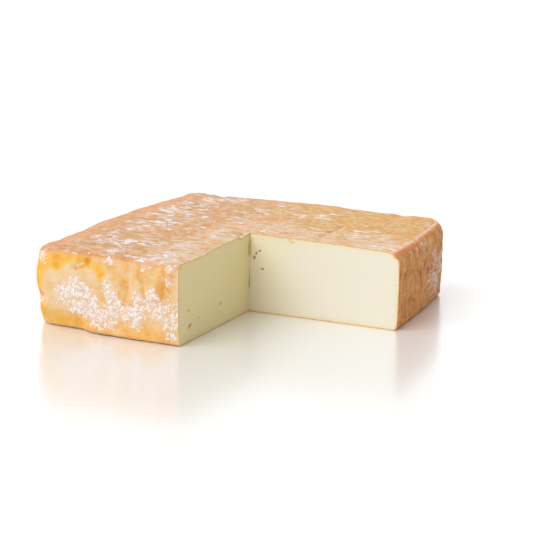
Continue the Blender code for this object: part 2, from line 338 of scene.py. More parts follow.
# White mould grows on the rind: in grains on the sides, in wisps on the top. Where the rind
# stayed wet it is stained ochre. Patches: place, height or place along, radius and strength.
FRONT_MOULD = (
    (-0.076, 0.023, 0.0062, 1.0),
    (-0.068, 0.031, 0.0032, 0.9),
    (-0.069, 0.026, 0.0035, 0.8),
    (-0.060, 0.026, 0.0048, 0.8),
    (-0.066, 0.016, 0.0052, 0.9),
    (-0.060, 0.012, 0.0045, 0.8),
    (-0.055, 0.018, 0.0062, 0.9),
    (-0.045, 0.031, 0.0035, 1.0),
    (-0.043, 0.025, 0.0040, 0.8),
    (-0.041, 0.018, 0.0055, 0.9),
    (-0.052, 0.010, 0.0050, 0.9),
    (-0.044, 0.009, 0.0042, 0.8),
    (-0.025, 0.025, 0.0042, 0.8),
    (-0.025, 0.017, 0.0060, 0.9),
    (-0.033, 0.016, 0.0048, 0.8),
    (-0.026, 0.010, 0.0038, 0.7),
    (-0.015, 0.026, 0.0048, 0.8),
    (-0.012, 0.020, 0.0050, 0.5),
    (-0.005, 0.023, 0.0060, 0.5),
    (-0.003, 0.014, 0.0065, 0.6),
    (-0.002, 0.005, 0.0035, 0.6),
    (-0.004, 0.046, 0.0034, 1.0),
    (-0.005, 0.038, 0.0026, 1.0),
    (-0.091, 0.043, 0.0045, 0.7),
    (-0.045, 0.046, 0.0030, 0.6),
    (-0.020, 0.046, 0.0040, 0.4),
)
FRONT_OCHRE = (
    (-0.092, 0.045, 0.0060, 0.9),
    (-0.093, 0.036, 0.0055, 0.9),
    (-0.081, 0.044, 0.0055, 1.0),
    (-0.081, 0.039, 0.0036, 1.0),
    (-0.073, 0.045, 0.0046, 0.8),
    (-0.065, 0.045, 0.0044, 0.9),
    (-0.059, 0.044, 0.0040, 1.0),
    (-0.052, 0.040, 0.0042, 0.8),
    (-0.050, 0.036, 0.0036, 0.8),
    (-0.096, 0.027, 0.0060, 0.9),
    (-0.096, 0.016, 0.0060, 0.9),
    (-0.093, 0.008, 0.0070, 0.8),
    (-0.080, 0.005, 0.0065, 0.8),
    (-0.066, 0.006, 0.0065, 0.9),
    (-0.024, 0.005, 0.0050, 0.6),
    (-0.012, 0.004, 0.0050, 0.3),
)
FRONT_PALE = (
    (-0.084, 0.030, 0.0085, 0.9),
    (-0.071, 0.034, 0.0080, 0.9),
    (-0.080, 0.014, 0.0080, 0.9),
    (-0.056, 0.034, 0.0070, 0.8),
    (-0.044, 0.030, 0.0070, 0.6),
    (-0.070, 0.022, 0.0090, 0.6),
)
TOP_MOULD = (
    (-0.051, -0.064, 0.0080, 1.0),
    (-0.043, -0.056, 0.0060, 0.9),
    (-0.033, -0.056, 0.0070, 0.9),
    (-0.049, -0.086, 0.0060, 0.9),
    (-0.068, -0.066, 0.0070, 0.8),
    (-0.070, -0.052, 0.0060, 0.8),
    (-0.079, 0.016, 0.0090, 1.0),
    (-0.074, -0.010, 0.0080, 0.9),
    (-0.061, -0.008, 0.0090, 1.0),
    (-0.066, -0.026, 0.0080, 0.9),
    (-0.078, 0.030, 0.0090, 0.9),
    (-0.065, 0.024, 0.0090, 0.9),
    (-0.013, -0.079, 0.0070, 1.0),
    (-0.022, -0.094, 0.0050, 0.9),
    (-0.010, -0.091, 0.0060, 0.9),
    (-0.018, -0.050, 0.0045, 1.0),
    (-0.052, 0.082, 0.0065, 1.0),
    (-0.062, 0.040, 0.0090, 0.9),
    (-0.058, 0.056, 0.0080, 0.7),
    (-0.076, 0.057, 0.0090, 0.8),
    (-0.066, 0.078, 0.0070, 0.7),
    (-0.022, 0.030, 0.0070, 0.6),
    (-0.016, 0.050, 0.0060, 0.6),
    (0.010, 0.054, 0.0060, 0.7),
    (0.022, 0.060, 0.0060, 0.8),
    (-0.003, 0.075, 0.0060, 0.5),
    (0.061, 0.032, 0.0065, 1.0),
    (0.051, 0.015, 0.0080, 0.7),
    (0.074, 0.030, 0.0070, 0.8),
    (0.085, 0.004, 0.0060, 0.8),
)
RIGHT_MOULD = (
    (0.073, 0.012, 0.0080, 0.5),
    (0.080, 0.026, 0.0060, 0.5),
    (0.058, 0.018, 0.0080, 0.4),
    (0.066, 0.030, 0.0060, 0.4),
    (0.044, 0.040, 0.0060, 0.3),
    (0.088, 0.020, 0.0035, 1.0),
    (0.088, 0.030, 0.0035, 1.0),
    (0.049, 0.0455, 0.0014, 0.8),
    (0.038, 0.0440, 0.0014, 0.8),
    (0.028, 0.0430, 0.0014, 0.8),
    (0.016, 0.0430, 0.0014, 0.8),
)
# Where the fold bites into the front side it is dark ochre, partly stain and partly painted shade,
# with a painted highlight on its lip. Start, end and reach.
FRONT_PLACE = -0.0985
GASHES = (
    ((-0.0673, FRONT_PLACE, 0.0382), (-0.0616, FRONT_PLACE, 0.0408), 0.0009),
    ((-0.0600, FRONT_PLACE, 0.0455), (-0.0590, FRONT_PLACE, 0.0415), 0.0009),
)
FOLD_LIP_HIGHLIGHTS = (((-0.0663, FRONT_PLACE, 0.0401), (-0.0622, FRONT_PLACE, 0.0421), 0.0006),)

# Low relief of the rind: wrinkles that swing round a level, pores, and grains of mould. A grain
# ends at its reach, counted in grain sizes from its middle, and fades over the last stretch.
WRINKLE_HEIGHT, WRINKLE_LENGTH, WRINKLE_LEVEL = 0.00042, 0.0056, 0.25
PORE_HEIGHT, PORE_LENGTH = 0.00012, 0.0022
GRAIN_HEIGHT, GRAIN_SIZE, GRAIN_REACH, GRAIN_FADE = 0.00020, 0.0019, 0.80, 0.45
GRAIN_SEED, GRAIN_GAIN, GRAIN_SOFTNESS, LEAST_GROWTH = 9.7, 1.12, 0.25, 0.02

# Each finish comes in from the first figure on, over the width of the second. These are shares
# of the way that the rind faces.
TOP_SLOPE, SIDE_SLOPE, HIDDEN_SLOPE = (0.45, 0.40), (0.30, 0.50), (0.40, 0.40)
CORNER_TO_LEFT, CORNER_TO_FRONT = (0.25, 0.30), (0.15, 0.30)
# These are places on the block, and two shares of a cloud.
WISPS_END_LEFT, WISPS_END_BACK = (0.077, 0.013), (0.088, 0.005)
RIGHT_RIM, FRONT_RIM, HIDDEN_RIM = (0.080, 0.006), (0.088, 0.006), (0.090, 0.006)
FRONT_EDGE, RIM_HEIGHT = (CUT_X - 0.0020, 0.0015), (0.0440, 0.0020)
DRIPS_ACROSS, DRIPS_UP = (-0.055, 0.020), (0.014, 0.014)
CUT_PALE_END, LEFT_CUT_STRETCH, NEAR_CUT_REACH = (0.023, 0.016), 1.2, 0.060
PATCHY, PATCH_LENGTH, PATCH_SEED = (0.35, 0.40), 0.012, 9
CLUMPED, CLUMP_LENGTH, CLUMP_SEED = (0.42, 0.20), 0.021, 5
# Belts round the sides: height of their middle, and width.
FOOT_BELT, SHOULDER_BELT = (0, 0.009), (0.044, 0.006)
MIDDLE_BELT, GROWTH_BELT = (0.022, 0.013), (0.020, 0.012)
# Brown, pale ridge and the line under it: slope, how far that moves near the cut, and width.
BROWN_SLOPE, BROWN_MOVE, BROWN_WIDTH = 0.32, -0.12, 0.25
RIDGE_SLOPE, RIDGE_MOVE, RIDGE_WIDTH = 0.88, 0.06, 0.05
UNDER_SLOPE, UNDER_MOVE, UNDER_WIDTH = 0.64, 0.13, 0.11
# Lines on the rind: their width, and how many widths out they have faded. The scratch's lip, where a
# highlight is painted, lies beside it by the last figure.
CREASE_WIDTH, DRIP_WIDTH, SCRATCH_WIDTH, LIP_HIGHLIGHT_WIDTH = 0.0010, 0.0009, 0.0008, 0.0005
LINE_END, SCRATCH_END, MARK_END, LIP_HIGHLIGHT_SHIFT = 1.5, 1.4, 1.7, 0.0013
# How strong each finish is where it is full.
WISPS_AT_MIDDLE, WISPS_FALL, LEAST_WISPS, PATCH_WISPS = 0.33, 3.2, 0.25, 1.4
CORNER_OCHRE, CREASE_OCHRE, HIDDEN_OCHRE, RIM_OCHRE = 0.85, 0.35, 0.80, 0.50
HIDDEN_PALE, HIDDEN_DRIPS, RIM_ROSE, BY_CUT_SHARE = 0.80, 0.70, 0.90, 0.75
DRIP_SHARE, LIP_HIGHLIGHT_SHARE = 0.90, 0.70
PATCH_END = 6


def rising(value, start, width):
    return smooth((value - start) / width)


def around(value, middle, width):
    """1 at the middle value, falling away on both sides of it."""
    return math.exp(-(((value - middle) / width) ** 2))


def covered(patches, across, along):
    """How much of this place is covered by the patches, from 0 to 1."""
    bare = 1.0
    for place, height, radius, strength in patches:
        away = ((across - place) ** 2 + (along - height) ** 2) / radius**2
        if away < PATCH_END:
            bare *= 1 - strength * math.exp(-away)
    return 1 - bare


def facing(normal):
    """How far the rind there is top, front, right side, and left side or back."""
    return (
        rising(normal.z, *TOP_SLOPE),
        rising(-normal.y, *SIDE_SLOPE),
        rising(normal.x, *SIDE_SLOPE),
        rising(max(normal.y, -normal.x), *HIDDEN_SLOPE),
    )


def cloud(point, length, seed):
    return 0.5 + 0.5 * wave(point, length, seed)


def growth_at(point, normal):
    """How thickly the grainy mould stands on the sides."""
    _, front, right, hidden = facing(normal)
    clumps = rising(cloud(point, CLUMP_LENGTH, CLUMP_SEED), *CLUMPED)
    return max(
        front * covered(FRONT_MOULD, point.x, point.z),
        right * covered(RIGHT_MOULD, point.y, point.z),
        hidden * around(point.z, *GROWTH_BELT) * clumps,
    )


def grown(point, normal):
    """The height of the mould's grain at a place, from 0 between grains to 1 in the middle."""
    distances, centres = noise.voronoi(point / GRAIN_SIZE)
    centre = centres[0]
    chance = 0.5 + 0.5 * noise.cell(centre * GRAIN_SEED)
    density = growth_at(centre * GRAIN_SIZE, normal)
    taken = rising(GRAIN_GAIN * density, chance, GRAIN_SOFTNESS)
    return taken * smooth((GRAIN_REACH - distances[0]) / GRAIN_FADE)


def nearness(marks, point):
    """1 on any of the marks, falling to 0 a little beyond their reach."""
    return max(smooth(MARK_END - distance_to(mark, point) / mark[2]) for mark in marks)


def drawn(lines, point, width, end=LINE_END):
    """1 on any of the lines, falling to 0 where the end, counted in widths, is reached."""
    return max(smooth(end - distance_to(line, point) / width) for line in lines)


def rim_share(normal):
    """1 where the rind faces half up, falling to 0 on the top and on upright sides."""
    upward = min(max(normal.z, 0), 1)
    return 4 * upward * (1 - upward)


def ochre_share(point, normal, patchy):
    """Stains: in patches, down the front left corner, in the creases and along hidden rims."""
    _, front, _, hidden = facing(normal)
    corner = rising(-normal.x, *CORNER_TO_LEFT) * rising(-normal.y, *CORNER_TO_FRONT)
    belts = max(around(point.z, *FOOT_BELT), around(point.z, *SHOULDER_BELT))
    return max(
        front * covered(FRONT_OCHRE, point.x, point.z),
        CORNER_OCHRE * corner,
        CREASE_OCHRE * (1 + patchy) * front * drawn(FOLD + CREASES, point, CREASE_WIDTH),
        HIDDEN_OCHRE * hidden * belts * patchy,
        RIM_OCHRE * rim_share(normal) * rising(max(-point.x, point.y), *HIDDEN_RIM),
    )


def rind_masks(point, normal):
    """What colours the rind at a place, each from 0 to 1."""
    top, front, right, hidden = facing(normal)
    x, y, z = point
    clear = (1 - rising(-x, *WISPS_END_LEFT)) * (1 - rising(y, *WISPS_END_BACK))
    wisps = max(WISPS_AT_MIDDLE - WISPS_FALL * x, LEAST_WISPS)
    from_cut = math.hypot(LEFT_CUT_STRETCH * max(CUT_X - x, 0), max(y - CUT_Y, 0))
    near_cut = 1 - rising(y, CUT_Y, NEAR_CUT_REACH)
    on_front = Vector((x, FRONT_PLACE, z))
    beside_scratch = point - Vector((LIP_HIGHLIGHT_SHIFT, 0, 0))
    by_right = rising(x, *RIGHT_RIM)
    foot = around(z, *FOOT_BELT)
    patchy = rising(cloud(point, PATCH_LENGTH, PATCH_SEED), *PATCHY)
    growth = growth_at(point, normal)
    return {
        "side": max(front, right, hidden) * (1 - top),
        "brown": by_right * rising(normal.x, BROWN_SLOPE + BROWN_MOVE * near_cut, BROWN_WIDTH),
        "wisps": top * clear * (wisps + PATCH_WISPS * covered(TOP_MOULD, x, y)),
        "by_cut": BY_CUT_SHARE * top * (1 - rising(from_cut, *CUT_PALE_END)),
        "growth": growth,
        "grains": grown(point, normal) if growth > LEAST_GROWTH else 0.0,
        "ochre": ochre_share(point, normal, patchy),
        "pale": max(
            front * covered(FRONT_PALE, x, z),
            front * rising(x, *FRONT_EDGE),
            HIDDEN_PALE * hidden * around(z, *MIDDLE_BELT) * (1 - patchy),
        ),
        "drips": max(
            front * rising(x, *DRIPS_ACROSS) * rising(z, *DRIPS_UP),
            front * foot,
            HIDDEN_DRIPS * hidden * rising(z, *DRIPS_UP),
        ),
        "rosy": max(
            rim_share(normal) * rising(z, *RIM_HEIGHT) * rising(-y, *FRONT_RIM),
            RIM_ROSE * top * (1 - clear),
        ),
        "ridge": by_right * around(normal.z, RIDGE_SLOPE + RIDGE_MOVE * near_cut, RIDGE_WIDTH),
        "under_ridge": by_right * around(normal.z, UNDER_SLOPE + UNDER_MOVE * near_cut, UNDER_WIDTH),
        "foot": front * foot,
        # ochre lines in the fold, creases and scratch: partly stain, partly painted shade
        "gash_stain_and_shade": max(
            front * nearness(GASHES, on_front),
            DRIP_SHARE * front * drawn(CREASES, point, DRIP_WIDTH),
            drawn(SCRATCH, point, SCRATCH_WIDTH, SCRATCH_END),
        ),
        # painted highlights on the lips of the fold and the scratch
        "lip_highlight": max(
            LIP_HIGHLIGHT_SHARE * front * nearness(FOLD_LIP_HIGHLIGHTS, on_front),
            drawn(SCRATCH, beside_scratch, LIP_HIGHLIGHT_WIDTH, SCRATCH_END),
        ),
    }


def rind_height(point, grains):
    wrinkles = abs(wave(point, WRINKLE_LENGTH, 0)) - WRINKLE_LEVEL
    pores = noise.noise(point / PORE_LENGTH)
    return WRINKLE_HEIGHT * wrinkles + PORE_HEIGHT * pores + GRAIN_HEIGHT * grains


# The paste is torn along the inner corner, and pitted by its eyes. The knife pressed a flake of
# rind into each cut. Tears and flakes: start, end and reach.
TEARS = (
    ((CUT_X, CUT_Y, 0.0365), (CUT_X, CUT_Y, 0.0440), 0.0009),
    ((CUT_X, CUT_Y, 0.0440), (CUT_X, CUT_Y, 0.0500), 0.0004),
    ((CUT_X, CUT_Y, 0.0150), (CUT_X, CUT_Y, 0.0270), 0.0003),
)
FLAKES = (
    ((0.0284, CUT_Y, 0.0482), (0.0296, CUT_Y, 0.0470), 0.0005),
    ((0.0296, CUT_Y, 0.0470), (0.0318, CUT_Y, 0.0465), 0.0003),
    ((CUT_X, -0.0188, 0.0478), (CUT_X, -0.0174, 0.0482), 0.0004),
)
# Tears deepen the paste in ragged stretches and colour it olive yellow: partly the torn paste's own
# yellow, partly painted shade in the slit. A knife leaves upright lines, drawn out many times their
# width, on a face that sways a little. All of it dies out close to the rind.
TORN_REACH, TORN_HEIGHT, TORN_LENGTH = 0.0050, 0.0005, 0.0022
RAGGED_LENGTH, RAGGED_SEED, RAGGED_CONTRAST = 0.0035, 3, 3
DRAG_HEIGHT, DRAG_LENGTH, DRAG_STRETCH = 0.00006, 0.0030, 12
SWAY_HEIGHT, SWAY_LENGTH, SWAY_SEED = 0.00022, 0.030, 6
EYE_END, EYE_SLOPE = 1.3, 0.8
# Painted warm shade: the whole left cut is yellower, and the back cut by this share, fading over this
# reach from the inner corner.
WARM_SHADE_SHARE, WARM_SHADE_REACH = 0.4, 0.050
FLAT_RIM = 0.0015


def eye_hollow(across, height, eyes):
    """How deep a place of a cut face is in one of its eyes, from 0 to 1."""
    for place, middle, length, width, slant in eyes:
        turn = math.radians(slant)
        right, up = across - place, height - middle
        along = (right * math.cos(turn) + up * math.sin(turn)) / (length / 2)
        over = (up * math.cos(turn) - right * math.sin(turn)) / (width / 2)
        away = math.hypot(along, over)
        if away < EYE_END:
            return smooth((EYE_END - away) / EYE_SLOPE)
    return 0.0


def paste_masks(point, left):
    across, eyes = (point.y, LEFT_CUT_EYES) if left else (point.x, BACK_CUT_EYES)
    ragged = smooth(RAGGED_CONTRAST * cloud(point, RAGGED_LENGTH, RAGGED_SEED) - 1)
    away = (point.x - CUT_X) / WARM_SHADE_REACH
    return {
        "hollow": eye_hollow(across, point.z, eyes),
        # painted warm shade: the left cut, and the back cut near the inner corner
        "painted_warm_shade": 1.0 if left else WARM_SHADE_SHARE * smooth(1 - away),
        "torn": nearness(TEARS, point) * (0.5 + 0.5 * ragged),
        "flake": nearness(FLAKES, point),
    }


def paste_height(point, masks):
    """A knife drags soft paste into faint upright lines, and tears it in the inner corner."""
    lines = noise.noise(Vector((point.x, point.y, point.z / DRAG_STRETCH)) / DRAG_LENGTH)
    from_corner = (Vector((CUT_X, CUT_Y)) - point.to_2d()).length
    torn = smooth(1 - from_corner / TORN_REACH) * noise.noise(point / TORN_LENGTH)
    height = DRAG_HEIGHT * lines + SWAY_HEIGHT * wave(point, SWAY_LENGTH, SWAY_SEED)
    return height + TORN_HEIGHT * (torn - masks["torn"]) - masks["hollow"] * EYE_DEPTH


# A point of a cut face moves straight out of it. A point of the rind moves along its slope, but
# stays in the cut's plane on the edge between the two.
PASTE_SLOT = 1
moves = []
for vertex, depth in zip(block.verts, depths):
    point, normal = vertex.co.copy(), vertex.normal.copy()
    slots = {face.material_index for face in vertex.link_faces}
    left = abs(point.x - CUT_X) < abs(point.y - CUT_Y)
    if point.z < TOUCHING:
        continue
    if slots == {PASTE_SLOT}:
        masks = paste_masks(point, left)
        out = Vector((1, 0, 0)) if left else Vector((0, -1, 0))
        height = smooth(depth / FLAT_RIM) * paste_height(point, masks)
        moves.append((vertex, masks, out * height, depth))
        continue
    if PASTE_SLOT in slots:
        normal[0 if left else 1] = 0
        if normal.length > 0:
            normal.normalize()
    masks = rind_masks(point, normal)
    moves.append((vertex, masks, normal * rind_height(point, masks["grains"]), depth))

MASKS = ("side", "brown", "wisps", "growth", "grains", "ochre", "pale", "drips", "rosy")
MASKS += ("by_cut", "ridge", "under_ridge", "foot", "gash_stain_and_shade", "lip_highlight")
MASKS += ("depth", "hollow", "painted_warm_shade", "torn", "flake")
MILLIMETRES = 1000

block.verts.index_update()
painted = {name: [0.0] * len(block.verts) for name in MASKS}
for vertex, masks, move, depth in moves:
    vertex.co += move
    vertex.co.z = max(vertex.co.z, 0.0)
    painted["depth"][vertex.index] = depth * MILLIMETRES
    for name, value in masks.items():
        painted[name][vertex.index] = value
bmesh.ops.translate(block, vec=BLOCK_SHIFT, verts=block.verts)

cheese_mesh = bpy.data.meshes.new("cheese_block")
block.to_mesh(cheese_mesh)
block.free()
for name, values in painted.items():
    cheese_mesh.attributes.new(name, "FLOAT", "POINT").data.foreach_set("value", values)
cheese = bpy.data.objects.new("cheese_block", cheese_mesh)
bpy.context.collection.objects.link(cheese)
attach(cheese, "root")
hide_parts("cheese")


# The sockets of a Mix node that take and give colours, counted from its first one.
MIX_SHARE, MIX_FIRST, MIX_SECOND, MIX_RESULT = 0, 6, 7, 2
NOISE_MIDDLE = 0.5


def seen(red, green, blue):
    """A colour as a screen shows it, from 0 to 255, made the linear one that a shader takes."""
    shares = [value / 255 for value in (red, green, blue)]
    linear = [((share + 0.055) / 1.055) ** 2.4 if share > 0.04 else share / 12.92 for share in shares]
    return (*linear, 1.0)


def add_node(tree, kind, sockets, **settings):
    """A shader node with its settings, and with each of its sockets linked or set."""
    node = tree.nodes.new("ShaderNode" + kind)
    for name, value in settings.items():
        setattr(node, name, value)
    for name, value in sockets.items():
        if isinstance(value, bpy.types.NodeSocket):
            tree.links.new(value, node.inputs[name])
        else:
            node.inputs[name].default_value = value
    return node


def mixed(tree, factor, first, second):
    sockets = {MIX_SHARE: factor, MIX_FIRST: first, MIX_SECOND: second}
    return add_node(tree, "Mix", sockets, data_type="RGBA").outputs[MIX_RESULT]


def banded(tree, value, colours, low, high):
    """Even bands of colour, with soft steps between them, as the value goes from low to high."""
    node = add_node(tree, "ValToRGB", {"Fac": value})
    bands = node.color_ramp.elements
    while len(bands) < len(colours):
        bands.new(0.5)
    for index, colour in enumerate(colours):
        bands[index].position = low + (high - low) * index / (len(colours) - 1)
        bands[index].color = colour
    return node.outputs["Color"]


def noise_of(tree, place, size, detail=3.0, rough=0.55, bend=0.0):
    """Noise whose lumps are about this many millimetres wide."""
    sockets = {"Vector": place, "Scale": 1 / size, "Detail": detail}
    sockets.update({"Roughness": rough, "Distortion": bend})
    return add_node(tree, "TexNoise", sockets).outputs["Fac"]


def ramped(tree, value, low, high, top=1.0):
    """A value brought from low and high to 0 and top, with soft ends."""
    sockets = {"Value": value, "From Min": low, "From Max": high, "To Min": 0.0, "To Max": top}
    return add_node(tree, "MapRange", sockets, interpolation_type="SMOOTHSTEP").outputs["Result"]


def counted(tree, operation, first, second=0.0):
    return add_node(tree, "Math", {0: first, 1: second}, operation=operation).outputs[0]


def scaled(tree, value, share):
    return counted(tree, "MULTIPLY", value, share)


def added(tree, first, second):
    return counted(tree, "ADD", first, second)


def less(tree, first, second):
    return counted(tree, "SUBTRACT", first, second)


def larger(tree, first, second):
    return counted(tree, "MAXIMUM", first, second)


def off_from(tree, value, middle):
    """How far a value is from the middle one, on either side."""
    return counted(tree, "ABSOLUTE", less(tree, value, middle))


def shifted(tree, place, push, stretch):
    """A place pushed about by a noise, further along some axes than along others."""
    push = add_node(tree, "VectorMath", {0: push, 1: stretch}, operation="MULTIPLY").outputs[0]
    return add_node(tree, "VectorMath", {0: place, 1: push}, operation="ADD").outputs[0]


def cells_of(tree, place, size):
    """Cells of this width in millimetres: how far from the middle of one, and its chances."""
    cells = add_node(tree, "TexVoronoi", {"Vector": place, "Scale": 1 / size}).outputs
    chances = add_node(tree, "SeparateColor", {"Color": cells["Color"]}).outputs
    return cells["Distance"], chances["Red"], chances["Green"]


def mask_of(tree, name):
    return add_node(tree, "Attribute", {}, attribute_name=name).outputs["Fac"]


def in_millimetres(tree, stretch=(1, 1, 1), turn=0):
    """The place on the cheese in millimetres, for a pattern that is stretched and then turned."""
    sockets = {
        "Vector": add_node(tree, "TexCoord", {}).outputs["Object"],
        "Scale": [part / MILLIMETRES for part in stretch],
        "Rotation": (0, 0, math.radians(turn)),
    }
    return add_node(tree, "Mapping", sockets, vector_type="TEXTURE").outputs["Vector"]


# The finish of the rind: damp, patchy and streaked, from pink and tan on the left of the top to
# yellow on its right, pale peach and orange on the sides, and dried brown on the right side.
TOP_PINK = (seen(192, 142, 90), seen(199, 156, 112), seen(203, 169, 133))
TOP_PINK += (seen(211, 183, 159), seen(218, 201, 195))
TOP_YELLOW = (seen(194, 140, 66), seen(204, 160, 91), seen(205, 169, 110))
TOP_YELLOW += (seen(208, 177, 131), seen(215, 190, 156))
SIDE_PEACH = (seen(224, 164, 88), seen(229, 179, 112), seen(231, 189, 130))
SIDE_PEACH += (seen(232, 196, 148), seen(232, 201, 162))
SIDE_BROWN = (seen(172, 98, 36), seen(202, 131, 60), seen(219, 149, 78))
SIDE_BROWN += (seen(231, 166, 99), seen(244, 190, 134))
ORANGE_STREAK, ORANGE_LINE = seen(216, 148, 82), seen(214, 140, 60)
OCHRE, DEEP_OCHRE, FOOT_ORANGE_AND_LIGHT = seen(239, 187, 84), seen(231, 160, 44), seen(250, 187, 100)
CUT_PALE = seen(217, 199, 184)
ROSE, RIDGE_PINK, UNDER_RIDGE = seen(216, 158, 118), seen(240, 212, 190), seen(208, 120, 44)
# The fold's and scratch's lines: ochre stain with painted shade, and a painted highlight on their
# lips.
GASH_STAIN_AND_SHADE, LIP_HIGHLIGHT = seen(222, 148, 56), seen(244, 224, 180)
GAP_BROWN = seen(206, 140, 84)
MOULD, WISP_WHITE = seen(240, 234, 234), seen(226, 226, 231)

# Patterns are stretched by these along each axis, and the streaks turned by these degrees.
STREAK_STRETCH, STREAK_TURN = (2.0, 1.0, 1.0), 4
RUN_STRETCH, DRY_STRETCH = (1.0, 1.0, 3.2), (1.0, 1.0, 1.7)

rind = bpy.data.materials.new("washed_rind")
rind.use_nodes = True
tree = rind.node_tree
shader = tree.nodes["Principled BSDF"]
place = in_millimetres(tree)
streaked = in_millimetres(tree, STREAK_STRETCH, STREAK_TURN)
upright = in_millimetres(tree, RUN_STRETCH)
dried = in_millimetres(tree, DRY_STRETCH)
side = mask_of(tree, "side")

# The top: streaks, whiter where the mould is thick, with thin orange lines between. A noise is
# given by size, detail, roughness and bend, and a ramp by its start, its end and its strength.
FIBRES, FINE_FIBRES, HUES = (5.0, 7.0, 0.72, 0.5), (2.0, 4.0, 0.7), (26.0,)
ORANGES, RIDGES = (9.0, 6.0, 0.62, 0.8), (11.0, 5.0, 0.55, 0.8)
FINE_SHARE, WISP_LIGHT, HUE_SWAY = 1.1, 0.04, 110.0
PINK_TO_YELLOW, PINK_BANDS, YELLOW_BANDS = (0.0, 85.0), (0.48, 0.72), (0.41, 0.68)
BY_CUT_RAMP, ORANGE_RAMP, RIDGE_RAMP = (0.36, 0.54, 0.8), (0.55, 0.66, 0.75), (0.014, 0.002, 0.6)

fibre = noise_of(tree, streaked, *FIBRES)
wisp_share = mask_of(tree, "wisps")
fine = less(tree, noise_of(tree, streaked, *FINE_FIBRES), NOISE_MIDDLE)
whiteness = added(tree, fibre, scaled(tree, fine, FINE_SHARE))
whiteness = added(tree, whiteness, scaled(tree, wisp_share, WISP_LIGHT))
across = add_node(tree, "SeparateXYZ", {"Vector": place}).outputs["X"]
across = added(tree, across, scaled(tree, noise_of(tree, place, *HUES), HUE_SWAY))
pink = banded(tree, whiteness, TOP_PINK, *PINK_BANDS)
yellow = banded(tree, whiteness, TOP_YELLOW, *YELLOW_BANDS)
top_colour = mixed(tree, ramped(tree, across, *PINK_TO_YELLOW), pink, yellow)
by_cut = scaled(tree, mask_of(tree, "by_cut"), ramped(tree, fibre, *BY_CUT_RAMP))
top_colour = mixed(tree, by_cut, top_colour, CUT_PALE)
orange = ramped(tree, noise_of(tree, streaked, *ORANGES), *ORANGE_RAMP)
top_colour = mixed(tree, orange, top_colour, ORANGE_STREAK)
line = off_from(tree, noise_of(tree, streaked, *RIDGES), NOISE_MIDDLE)
top_colour = mixed(tree, ramped(tree, line, *RIDGE_RAMP), top_colour, ORANGE_LINE)

# The sides: peach in soft clouds, with orange run down from the top edge.
RUNS, CLOUDS, RAGGED = (7.0, 3.0), (8.0, 5.0, 0.6), (5.0, 6.0, 0.68)
RUN_START, RUN_SHARE, PALE_SHARE, RAGGED_SHARE, FOOT_SHARE = 0.60, 0.8, 0.2, 1.1, 0.5
PEACH_BANDS, OCHRE_RAMP, DEEP_RAMP = (0.28, 0.66), (0.72, 1.22), (1.12, 1.60, 0.9)

run_down = scaled(tree, less(tree, RUN_START, noise_of(tree, upright, *RUNS)), RUN_SHARE)
run_down = scaled(tree, run_down, mask_of(tree, "drips"))
paleness = scaled(tree, mask_of(tree, "pale"), PALE_SHARE)
paleness = added(tree, noise_of(tree, place, *CLOUDS), paleness)
side_colour = banded(tree, less(tree, paleness, run_down), SIDE_PEACH, *PEACH_BANDS)
ragged = scaled(tree, noise_of(tree, place, *RAGGED), RAGGED_SHARE)
ochre = added(tree, mask_of(tree, "ochre"), ragged)
side_colour = mixed(tree, ramped(tree, ochre, *OCHRE_RAMP), side_colour, OCHRE)
side_colour = mixed(tree, ramped(tree, ochre, *DEEP_RAMP), side_colour, DEEP_OCHRE)
# The front's foot gets a brighter orange: partly its own orange, partly painted light lifting the
# shade under the rounded foot.
foot = scaled(tree, mask_of(tree, "foot"), FOOT_SHARE)
side_colour = mixed(tree, foot, side_colour, FOOT_ORANGE_AND_LIGHT)
colour = mixed(tree, side, top_colour, side_colour)

# The right side, the rosy rims, the right rim's pale ridge with a darker line under it, and the
# ochre lines of the folds, creases and scratch, partly stain and partly painted shade, with painted
# highlights on the lips of the fold and the scratch.
DRY, UNEVEN, BROKEN = (4.5, 7.0, 0.72, 0.6), (4.0, 4.0, 0.6), (2.2, 3.0)
BROWN_BANDS, ROSY_RAMP, BROKEN_RAMP = (0.36, 0.67), (0.35, 0.55, 0.9), (0.24, 0.46, 0.85)
UNEVEN_RAMP, LEAST_RIDGE = (0.38, 0.56, 0.4), 0.5

brown = banded(tree, noise_of(tree, dried, *DRY), SIDE_BROWN, *BROWN_BANDS)
colour = mixed(tree, mask_of(tree, "brown"), colour, brown)
rosy = scaled(tree, mask_of(tree, "rosy"), ramped(tree, fibre, *ROSY_RAMP))
colour = mixed(tree, rosy, colour, ROSE)
uneven = added(tree, ramped(tree, noise_of(tree, place, *UNEVEN), *UNEVEN_RAMP), LEAST_RIDGE)
broken = ramped(tree, noise_of(tree, place, *BROKEN), *BROKEN_RAMP)
# The gash lines are partly stain and partly painted shade, and the lips are painted highlights.
for name, share, shade in (
    ("ridge", uneven, RIDGE_PINK),
    ("under_ridge", uneven, UNDER_RIDGE),
    ("gash_stain_and_shade", broken, GASH_STAIN_AND_SHADE),
    ("lip_highlight", broken, LIP_HIGHLIGHT),
):
    colour = mixed(tree, scaled(tree, mask_of(tree, name), share), colour, shade)

# The mould of the sides: a thin veil with brown gaps, then islands and dustings of fine grains.
BENDS, GRAIN_BEND, GRAIN_CELL = 1.6, (1.5, 1.5, 1.5), 1.15
FLECKS, FLECK_SHARE = (1.1, 4.0, 0.6), 1.2
VEIL_RAMP, GAP_RAMP = (0.10, 0.90, 0.35), (0.56, 0.44, 0.5)
ISLAND_RAMP, ISLAND_GRAIN = (0.16, 0.46), (0.86, 0.42, 0.98)
DUST_SHARE, DUST_RAMP, DUST_GRAIN = 0.75, (0.0, 0.12, 0.85), (0.66, 0.30)

